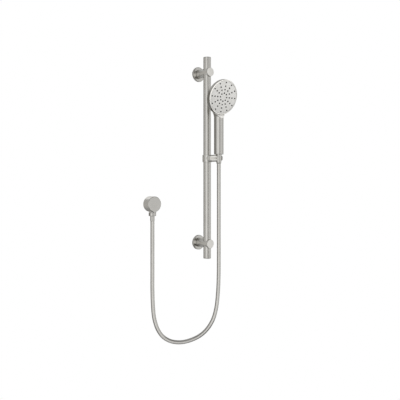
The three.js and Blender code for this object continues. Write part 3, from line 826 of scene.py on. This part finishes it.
HANDSET = Matrix.Translation((HANDLE_AXIS.x, HANDLE_AXIS.y, 0))
HANDLE_BOTTOM = low_of("handset_shell").z
HANDLE_FILLET = 1.6 * MM
# How softly the handle runs into the head
HEAD_BLEND = 13 * MM


def head_distance(points):
    local = (points - np.array(HEAD_FRAME.translation)) @ np.array(HEAD_FRAME.to_3x3())
    depth = np.maximum(-HEAD_RIM - local[:, 2], 0)
    radius = np.hypot(local[:, 0], local[:, 1] + HEAD_LEAN * depth)
    wall = radius - HEAD_RADIUS
    reach = np.maximum(np.hypot(radius / HEAD_RADIUS, depth / HEAD_DOME), 1e-6)
    slope = np.maximum(np.hypot(radius / HEAD_RADIUS**2, depth / HEAD_DOME**2) / reach, 1e-6)
    dome = (reach - 1) / slope
    return np.maximum(np.where(depth > 0, dome, wall), local[:, 2] - HEAD_FRONT)


def handset_distance(points):
    radial = np.hypot(points[:, 0] - HANDLE_AXIS.x, points[:, 1] - HANDLE_AXIS.y) - HANDLE_RADIUS
    centre, half = (HANDLE_BOTTOM + HANDLE_END) / 2, (HANDLE_END - HANDLE_BOTTOM) / 2
    handle = rounded_rod(radial, points[:, 2] - centre, half, HANDLE_FILLET)
    return smooth_union(handle, head_distance(points), HEAD_BLEND)


def make_handset_shell():
    handle_outline = [
        (0, HANDLE_BOTTOM),
        (HANDLE_RADIUS, HANDLE_BOTTOM, HANDLE_FILLET),
        (HANDLE_RADIUS, HANDLE_END),
        (0, HANDLE_END),
    ]
    shell = turned("handset_shell_shape", handle_outline, HANDSET, 64)
    dome_outline = [(0, HEAD_FRONT), (HEAD_RADIUS, HEAD_FRONT)]
    steps = 15
    for k in range(steps):
        angle = math.pi / 2 * k / steps
        dome_outline.append((HEAD_RADIUS * math.cos(angle), -HEAD_RIM - HEAD_DOME * math.sin(angle)))
    dome_outline.append((0, -HEAD_RIM - HEAD_DOME))
    dome = turned("dome", dome_outline, HEAD_FRAME, 96)
    inverse = HEAD_FRAME.inverted()
    for vertex in dome.data.vertices:
        local = inverse @ vertex.co
        local.y -= HEAD_LEAN * max(0, -HEAD_RIM - local.z)
        vertex.co = HEAD_FRAME @ local
    weld(shell, dome)
    remesh(shell, 1.1 * MM)
    settle_on(shell, handset_distance)
    wide = 80 * MM
    face_side = block((-wide, -HEAD_RADIUS - GAP, -3.6 * MM), (wide, 84 * MM, 36.4 * MM), HEAD_FRAME)
    front = HANDLE_AXIS.y - HANDLE_RADIUS
    ring_foot = HEAD_FRAME @ Vector((0, -HEAD_RADIUS, 0))
    slope = math.atan2(ring_foot.z - SHOULDER, ring_foot.y - front)
    shoulder_place = Matrix.Translation((HANDLE_AXIS.x, front, SHOULDER)) @ Matrix.Rotation(slope, 4, "X")
    shoulder = block((-0.04, -0.03, 0), (0.04, 0.03, 0.04), shoulder_place)
    cavity_outline = [
        (0, 5 * MM),
        (51 * MM, 5 * MM),
        (51 * MM, -13 * MM, 2 * MM),
        (44 * MM, -19 * MM),
        (20 * MM, -27 * MM),
        (0, -28 * MM),
    ]
    cavity = turned("cutter", cavity_outline, HEAD_FRAME, 96)
    below = HANDLE_BOTTOM - 1 * MM
    tube_top = 416 * MM
    bore = cylinder(10.8 * MM, below, tube_top - 6 * MM, HANDSET, 64)
    tube_bore = cylinder(7 * MM + GAP, tube_top - 7 * MM, tube_top + GAP, HANDSET, 64)
    passage = cylinder(3.6 * MM, tube_top, tube_top + 15 * MM, HANDSET, 32)
    foot_bore = cylinder(12.6 * MM, below, 304.3 * MM, HANDSET, 96)
    carve(shell, face_side, shoulder, cavity, bore, tube_bore, passage, foot_bore)
    soften(shell, 30)
    metal = brushed_nickel("handset_nickel", Z, (HANDLE_AXIS.x, HANDLE_AXIS.y, 0), 0.17)
    stand_for(shell, "handset_shell", metal)


def ring_places(count, radius):
    places = []
    for i in range(count):
        angle = math.pi / 2 + 2 * math.pi * i / count
        places.append(Matrix.Translation((radius * math.cos(angle), radius * math.sin(angle), 0)))
    return places


NOZZLES = [place for count, radius in NOZZLE_RINGS for place in ring_places(count, radius)]


def joined(name, pieces):
    """Separate closed meshes as one object."""
    vertices, faces = [], []
    for piece in pieces:
        start = len(vertices)
        vertices += [v.co.copy() for v in piece.data.vertices]
        faces += [[start + v for v in polygon.vertices] for polygon in piece.data.polygons]
        bpy.data.objects.remove(piece)
    return new_piece(name, vertices, faces)


# The ring's front slopes back to a rounded edge, except where it meets the handle's shoulder.
def make_face_ring():
    sides = 192
    inner, back = 52.2 * MM, -3.3 * MM
    rings, faces = [], []
    for i in range(sides):
        angle = 2 * math.pi * i / sides
        from_bottom = abs(math.remainder(angle + math.pi / 2, 2 * math.pi))
        round_share = float(smooth_step((from_bottom - math.radians(20)) / math.radians(25)))
        outline = [
            (inner, back, 0.2 * MM),
            (HEAD_RADIUS, back, 0.15 * MM),
            (HEAD_RADIUS, -0.7 * MM * round_share, (0.4 + 0.8 * round_share) * MM),
            (inner, 0, 0.3 * MM),
        ]
        profile = rounded(outline, True)
        turn = Matrix.Rotation(angle, 4, "Z")
        rings.append([HEAD_FRAME @ turn @ Vector((radius, 0, height)) for radius, height in profile])
    count = len(rings[0])
    for i in range(sides):
        following = (i + 1) % sides
        for k in range(count):
            j = (k + 1) % count
            faces.append((i * count + k, following * count + k, following * count + j, i * count + j))
    vertices = [vertex for ring in rings for vertex in ring]
    if volume_of(vertices, faces) < 0:
        faces = [face[::-1] for face in faces]
    metal = brushed_nickel("ring_nickel", FACE_OUT, HEAD_FRAME.translation, 0.2)
    stand_for(new_piece("face_ring_shape", vertices, faces), "face_ring", metal)


def make_face():
    plate_outline = [
        (0, -3 * MM),
        (51.8 * MM, -3 * MM, 0.2 * MM),
        (51.8 * MM, -0.4 * MM, 0.35 * MM),
        (0, -0.4 * MM),
    ]
    plate = turned("face_plate_shape", plate_outline, HEAD_FRAME, 192)
    hole = [(0, -5 * MM), (2.5 * MM, -5 * MM), (2.5 * MM, 2 * MM), (0, 2 * MM)]
    holes = joined("holes", [turned("hole", hole, HEAD_FRAME @ place, 20) for place in NOZZLES])
    carve(plate, holes)
    ease_edges(plate, 0.12 * MM, segments=2)
    stand_for(plate, "face_plate")

    nub = [
        (0, -4.4 * MM),
        (2.25 * MM, -4.4 * MM),
        (2.15 * MM, 0.5 * MM, 0.35 * MM),
        (0.7 * MM, 0.5 * MM, 0.2 * MM),
        (0.45 * MM, -1.2 * MM),
        (0, -1.2 * MM),
    ]
    nubs = joined("nubs", [turned("nub", nub, HEAD_FRAME @ place, 20) for place in NOZZLES])
    outer, back, front = 49.5 * MM, -5.4 * MM, -3.4 * MM
    edge = 0.4 * MM
    mat_outline = [(0, back), (outer, back, edge), (outer, front, edge), (0, front)]
    mat = turned("nozzle_mat_shape", mat_outline, HEAD_FRAME, 96)
    weld(mat, nubs)
    soften(mat)
    stand_for(mat, "nozzle_mat")


make_handset_shell()
make_face_ring()
make_face()

# ------------------------------------------------------------------------------
# Hose fittings


def make_fittings():
    upper = upright("hose_cone_nut")
    nut_top, nut_bottom = high_of("hose_cone_nut").z, low_of("hose_cone_nut").z
    metal = brushed_nickel("fitting_nickel", Z, (HANDLE_AXIS.x, HANDLE_AXIS.y, 0), 0.2)
    shoulder = HANDLE_BOTTOM + 0.5 * MM
    taper = nut_bottom + 5.3 * MM
    outline = [
        (10.3 * MM, nut_top, 0.2 * MM),
        (10.3 * MM, shoulder + 2.8 * MM),
        (7.6 * MM, shoulder + 2.8 * MM),
        (7.6 * MM, nut_bottom + 4.2 * MM),
        (6.8 * MM, nut_bottom + 4.2 * MM),
        (6.8 * MM, nut_bottom, 0.1 * MM),
        (7.1 * MM, nut_bottom, 0.1 * MM),
        (cone_at(taper - SLIDER.z), taper, 3 * MM),
        (cone_at(shoulder - SLIDER.z), shoulder),
        (12.2 * MM, shoulder, 0.3 * MM),
        (12.2 * MM, nut_top, 0.4 * MM),
    ]
    stand_for(turned("hose_cone_nut_shape", outline, upper, 96), "hose_cone_nut", metal)

    lower = upright("hose_lower_nut")
    centre = middle("hose_lower_nut")
    metal = brushed_nickel("lower_fitting_nickel", Z, (centre.x, centre.y, 0), 0.2)
    foot = low_of("hose_lower_ferrule").z
    outline = [
        (4 * MM, foot, 0.2 * MM),
        (6.7 * MM, foot, 0.3 * MM),
        (6.9 * MM, foot + 2 * MM, 0.5 * MM),
        (6.9 * MM, foot + 15.5 * MM, 0.1 * MM),
        (6.5 * MM, foot + 15.5 * MM),
        (6.5 * MM, foot + 18.9 * MM),
        (9.4 * MM, foot + 18.9 * MM),
        (9.4 * MM, foot + 20.2 * MM),
        (4 * MM, foot + 20.2 * MM),
    ]
    stand_for(turned("hose_lower_ferrule_shape", outline, lower, 64), "hose_lower_ferrule", metal)
    nut_low, nut_high = low_of("hose_lower_nut").z, high_of("hose_lower_nut").z
    outline = [
        (6.9 * MM, nut_low, 0.2 * MM),
        (11.7 * MM, nut_low, 1.2 * MM),
        (11.7 * MM, nut_high, 0.5 * MM),
        (9.8 * MM, nut_high, 0.2 * MM),
        (9.8 * MM, nut_low + 2.8 * MM),
        (6.9 * MM, nut_low + 2.8 * MM),
    ]
    stand_for(turned("hose_lower_nut_shape", outline, lower, 96), "hose_lower_nut", metal)


make_fittings()

# ------------------------------------------------------------------------------
# Wall outlet

OUTLET = Vector((middle("outlet_inlet_bush").x, 0, middle("outlet_inlet_bush").z))
PORT = middle("hose_lower_nut")
OUTLET_RADIUS = (high_of("outlet_body").x - low_of("outlet_body").x) / 2
OUTLET_DEPTH = -low_of("outlet_body").y
BOSS_RADIUS = 11 * MM
BOSS_FRONT = 13.7 * MM
BOSS_DROP = 27 * MM
# The body is shaped past its back and past the port's end, and then cut off flat.
BACK_EXTRA = 3 * MM
BOSS_LOW, BOSS_HIGH = -32 * MM, 8 * MM


def outlet_distance(points):
    depth = OUTLET_DEPTH + BACK_EXTRA
    radial = np.hypot(points[:, 0] - OUTLET.x, points[:, 2] - OUTLET.z) - OUTLET_RADIUS
    disc = rounded_rod(radial, points[:, 1] - (BACK_EXTRA - depth / 2), depth / 2, 1.8 * MM)
    offset = points[:, 1] - PORT.y
    offset = np.where(offset < 0, offset * BOSS_RADIUS / BOSS_FRONT, offset)
    radial = np.hypot(points[:, 0] - PORT.x, offset) - BOSS_RADIUS
    centre, half = OUTLET.z + (BOSS_LOW + BOSS_HIGH) / 2, (BOSS_HIGH - BOSS_LOW) / 2
    boss = rounded_rod(radial, points[:, 2] - centre, half, 1 * MM)
    return np.maximum(smooth_union(disc, boss, 3 * MM), -points[:, 1] - OUTLET_DEPTH)


def make_outlet():
    place = out_of_wall(OUTLET)
    port = Matrix.Translation((PORT.x, PORT.y, OUTLET.z))
    radius, back, front = OUTLET_RADIUS, -BACK_EXTRA, OUTLET_DEPTH
    body = turned("outlet_body_shape", [(0, back), (radius, back), (radius, front), (0, front)], place, 96)
    weld(body, cylinder(BOSS_RADIUS, BOSS_LOW, BOSS_HIGH, port, 64))
    remesh(body, 0.7 * MM)
    settle_on(body, outlet_distance)
    carve(
        body,
        block((-0.05, 0, -0.05), (0.05, 0.01, 0.05), Matrix.Translation(OUTLET)),
        block((-0.02, -0.02, -0.06), (0.02, 0.02, -BOSS_DROP), port),
    )
    stub = cylinder(9.5 * MM, -31.1 * MM, -20 * MM, port, 64)
    weld(body, stub)
    inner, outer, deep = 19.6 * MM, 23 * MM, 1.8 * MM
    groove_outline = [(inner, -1 * MM), (outer, -1 * MM), (outer, deep), (inner, deep)]
    groove = turned("cutter", groove_outline, place, 96)
    inlet = cylinder(13.3 * MM, -1 * MM, 12.3 * MM, place, 64)
    chamber = cylinder(8 * MM, 10 * MM, 23 * MM, place, 48)
    drop_place = Matrix.Translation((OUTLET.x, -17.5 * MM, OUTLET.z))
    drop = cylinder(4.5 * MM, -20 * MM, 0, drop_place, 32)
    valve_bore = cylinder(8 * MM, -33 * MM, -15.4 * MM, port, 48)
    carve(body, groove, inlet, chamber, drop, valve_bore)
    soften(body, 30)
    metal = brushed_nickel("outlet_nickel", Y, OUTLET, 0.26)
    stand_for(body, "outlet_body", metal)

    bush_outline = [
        (9.3 * MM, GAP, 0.5 * MM),
        (13 * MM, GAP, 0.3 * MM),
        (13 * MM, 12 * MM, 0.3 * MM),
        (9.3 * MM, 12 * MM, 0.5 * MM),
    ]
    stand_for(turned("outlet_inlet_bush_shape", bush_outline, place, 96), "outlet_inlet_bush")
    gasket_outline = [
        (19.9 * MM, GAP, 0.2 * MM),
        (22.7 * MM, GAP, 0.2 * MM),
        (22.7 * MM, 1.5 * MM, 0.2 * MM),
        (19.9 * MM, 1.5 * MM, 0.2 * MM),
    ]
    stand_for(turned("outlet_gasket_shape", gasket_outline, place, 96), "outlet_gasket")


# The check valve's spring, one end of which moves with the poppet.
def make_valve_spring():
    low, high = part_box("check_valve_spring")
    wire = 0.35 * MM
    coil_radius = (high.x - low.x) / 2 - wire
    turns = 4
    steps = 36 * turns
    travel = high.z - low.z - 2 * wire
    centres = []
    for k in range(steps + 1):
        angle = 2 * math.pi * turns * k / steps
        x = PORT.x + coil_radius * math.cos(angle)
        y = PORT.y + coil_radius * math.sin(angle)
        centres.append((x, y, low.z + wire + travel * k / steps))
    centres = np.array(centres)
    run = np.arange(steps + 1) * MM
    spring = tube("check_valve_spring_shape", centres, carried_directions(centres), run, wire, 10)
    paint(spring, FINISH["steel"])
    bottom, top = (PORT.x, PORT.y, low.z), (PORT.x, PORT.y, high.z)
    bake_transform(spring, "wall_set", "valve_poppet", start=bottom, end=top)
    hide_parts("check_valve_spring")


make_outlet()
make_valve_spring()

# ------------------------------------------------------------------------------
# The CAD nodes that stay in view


def paint_frame():
    for name, part in frame["nodes"].items():
        if not part.hide_render:
            paint(part, FINISH[SLOT_OF[name]])


paint_frame()

# ------------------------------------------------------------------------------
# Stage: a pale floor well below the set, a light tent that the metal reflects, and cards for single parts


def make_floor():
    low = -1.1
    reach = 9
    behind = 0.25
    corners = [(-reach, -reach, low), (reach, -reach, low), (reach, behind, low), (-reach, behind, low)]
    floor = new_piece("floor", corners, [(0, 1, 2, 3)])
    material, tree = blank_material("floor")
    cloud = noise(tree, object_place(tree), 0.7, 2, 0.5)
    base = blended_colour(tree, cloud, (0.95, 0.95, 0.95), (0.9, 0.9, 0.9))
    shader_out(tree, Base_Color=base, Roughness=0.8, Emission_Color=(1, 1, 1, 1), Emission_Strength=0.5)
    paint(floor, material)
    floor.visible_glossy = False
    floor.visible_diffuse = False


GREY = (1, 1, 0.985)
BROWN = (1, 0.96, 0.86)
# The tent by compass angle, in degrees from straight out of the wall towards the right: the band that goes
# round at the object's height, and the dimmer light above and below it.
BAND = [
    (-180, 0.21, GREY),
    (-150, 0.18, BROWN),
    (-128, 0.21, BROWN),
    (-112, 0.36, GREY),
    (-98, 0.46, GREY),
    (-80, 0.76, GREY),
    (-62, 0.86, GREY),
    (-48, 0.96, GREY),
    (-36, 0.62, GREY),
    (-24, 0.48, GREY),
    (-4, 0.48, GREY),
    (8, 0.60, GREY),
    (20, 0.86, GREY),
    (30, 0.64, GREY),
    (44, 0.56, GREY),
    (60, 0.50, GREY),
    (78, 0.56, GREY),
    (95, 0.74, GREY),
    (120, 0.50, GREY),
    (141, 0.24, GREY),
    (165, 0.19, BROWN),
    (180, 0.21, GREY),
]
ABOVE_AND_BELOW = [
    (-180, 0.46, GREY),
    (-150, 0.46, GREY),
    (-110, 0.34, GREY),
    (-60, 0.18, GREY),
    (0, 0.12, GREY),
    (60, 0.20, GREY),
    (110, 0.34, GREY),
    (150, 0.44, GREY),
    (180, 0.46, GREY),
]
# How far out of the band a height is, and the brightness there, from straight down, -1, to straight up, 1.
OUT_OF_BAND = [
    (-1, 1.0, GREY),
    (-0.58, 1.0, GREY),
    (-0.38, 0.0, GREY),
    (0.36, 0.0, GREY),
    (0.56, 1.0, GREY),
    (1, 1.0, GREY),
]
HEIGHTS = [
    (-1, 0.7, GREY),
    (-0.55, 0.75, GREY),
    (-0.3, 1.06, GREY),
    (-0.1, 1.06, GREY),
    (0.1, 1.0, GREY),
    (0.5, 1.0, GREY),
    (1, 0.9, GREY),
]


# A colour ramp whose stops run from low to high.
def ramp_of(tree, factor, stops, low, high):
    ramp = node(tree, "ValToRGB", {"Fac": factor})
    ramp.color_ramp.interpolation = "EASE"
    elements = ramp.color_ramp.elements
    while len(elements) < len(stops):
        elements.new(0.5)
    # All the places are set before any colour, because a stop that moves past another changes their order.
    for k, (place, level, tint) in enumerate(stops):
        elements[k].position = (place - low) / (high - low)
    for k, (place, level, tint) in enumerate(stops):
        elements[k].color = (*(level * share for share in tint), 1)
    return ramp.outputs[0]


def make_world():
    world = bpy.data.worlds.new("tent")
    bpy.context.scene.world = world
    world.use_nodes = True
    tree = world.node_tree
    tree.nodes.clear()
    direction = node(tree, "TexCoord").outputs["Generated"]
    parts = node(tree, "SeparateXYZ", {"Vector": direction})
    back = node(tree, "Math", {0: parts.outputs[1], 1: -1.0}, operation="MULTIPLY").outputs[0]
    angle = node(tree, "Math", {0: parts.outputs[0], 1: back}, operation="ARCTAN2").outputs[0]
    share = spread(tree, angle, 0, 1, -math.pi, math.pi)
    rise = spread(tree, parts.outputs[2], 0, 1, -1, 1)
    band = ramp_of(tree, share, BAND, -180, 180)
    outside = ramp_of(tree, share, ABOVE_AND_BELOW, -180, 180)
    out_of_band = ramp_of(tree, rise, OUT_OF_BAND, -1, 1)
    height = ramp_of(tree, rise, HEIGHTS, -1, 1)
    around = blended_colour(tree, out_of_band, band, outside)
    tent = node(tree, "Background", {"Color": around, "Strength": height}).outputs[0]
    white = node(tree, "Background", {"Color": (1, 1, 1, 1), "Strength": 1.0}).outputs[0]
    seen = node(tree, "LightPath").outputs["Is Camera Ray"]
    mixed = node(tree, "MixShader", {0: seen, 1: tent, 2: white}).outputs[0]
    tree.links.new(mixed, node(tree, "OutputWorld").inputs[0])


def make_light(name, place, aim, width, height, radiance, lit=()):
    """An area light that the camera doesn't see. Where lit names pieces, it lights only those."""
    data = bpy.data.lights.new(name, "AREA")
    data.shape = "RECTANGLE"
    data.size = width
    data.size_y = height
    data.energy = radiance * math.pi * width * height
    light = bpy.data.objects.new(name, data)
    light.location = place
    light.rotation_euler = (Vector(aim) - Vector(place)).to_track_quat("-Z", "Y").to_euler()
    light.visible_camera = False
    bpy.context.scene.collection.objects.link(light)
    if lit:
        group = bpy.data.collections.new(name + "_lit")
        for piece_name in lit:
            group.objects.link(bpy.data.objects[piece_name])
        light.light_linking.receiver_collection = group


FACE_PIECES = ["face_plate_shape", "face_ring_shape"]
SHOULDER_PIECES = ["handset_shell_shape", *FACE_PIECES]
CAP_PIECES = ["lower_post_cap_shape", "upper_post_cap_shape"]
HOSE_PIECES = [name for name, *rest in HOSE_LENGTHS]
RAIL_PIECES = [
    "rail_tube_shape",
    "rail_top_cap_shape",
    "rail_bottom_cap_shape",
    "slider_collar_shape",
    "lower_post_shape",
    "upper_post_shape",
    "outlet_body_shape",
]

make_floor()
make_world()
make_light("overhead", (-0.4, -0.9, 2.0), (-0.05, -0.05, 0.2), 1.6, 1.2, 0.2)
make_light("crown_card", (0.08, 0.98, 0.7), (-0.19, -0.02, 0.1), 0.9, 0.9, 0.5, ["outlet_body_shape"])
make_light("cap_card", (0.763, -0.968, 0.35), (0, -0.1, 0.35), 0.8, 1.6, 0.28, CAP_PIECES)
make_light("face_card", (0.763, -0.868, 0.35), (0, -0.1, 0.40), 0.8, 1.6, 0.44, FACE_PIECES)
make_light("ring_card", (0.50, -1.48, 0.04), (0, -0.134, 0.47), 0.6, 1.1, 0.7, ["face_ring_shape"])
make_light("shoulder_card", (0.73, -0.47, 1.3), (0, -0.12, 0.42), 0.8, 0.8, 0.95, SHOULDER_PIECES)
make_light("left_card", (-0.62, 0.50, 0.28), (0, -0.06, 0.28), 0.5, 1.6, 0.30, RAIL_PIECES)
make_light("back_card", (-0.234, 0.462, 0.28), (0, -0.09, 0.28), 0.55, 1.3, 0.65, ["holder_body_shape"])
make_light("hose_card", (-0.7, -1.6, 0.1), (-0.08, -0.08, -0.05), 1.8, 2.2, 0.31, HOSE_PIECES)
make_light("loop_card", (-0.5, -0.7, -1.1), (-0.09, -0.06, -0.28), 1.2, 1.2, 0.5, HOSE_PIECES)
bpy.context.scene.view_settings.view_transform = "Standard"
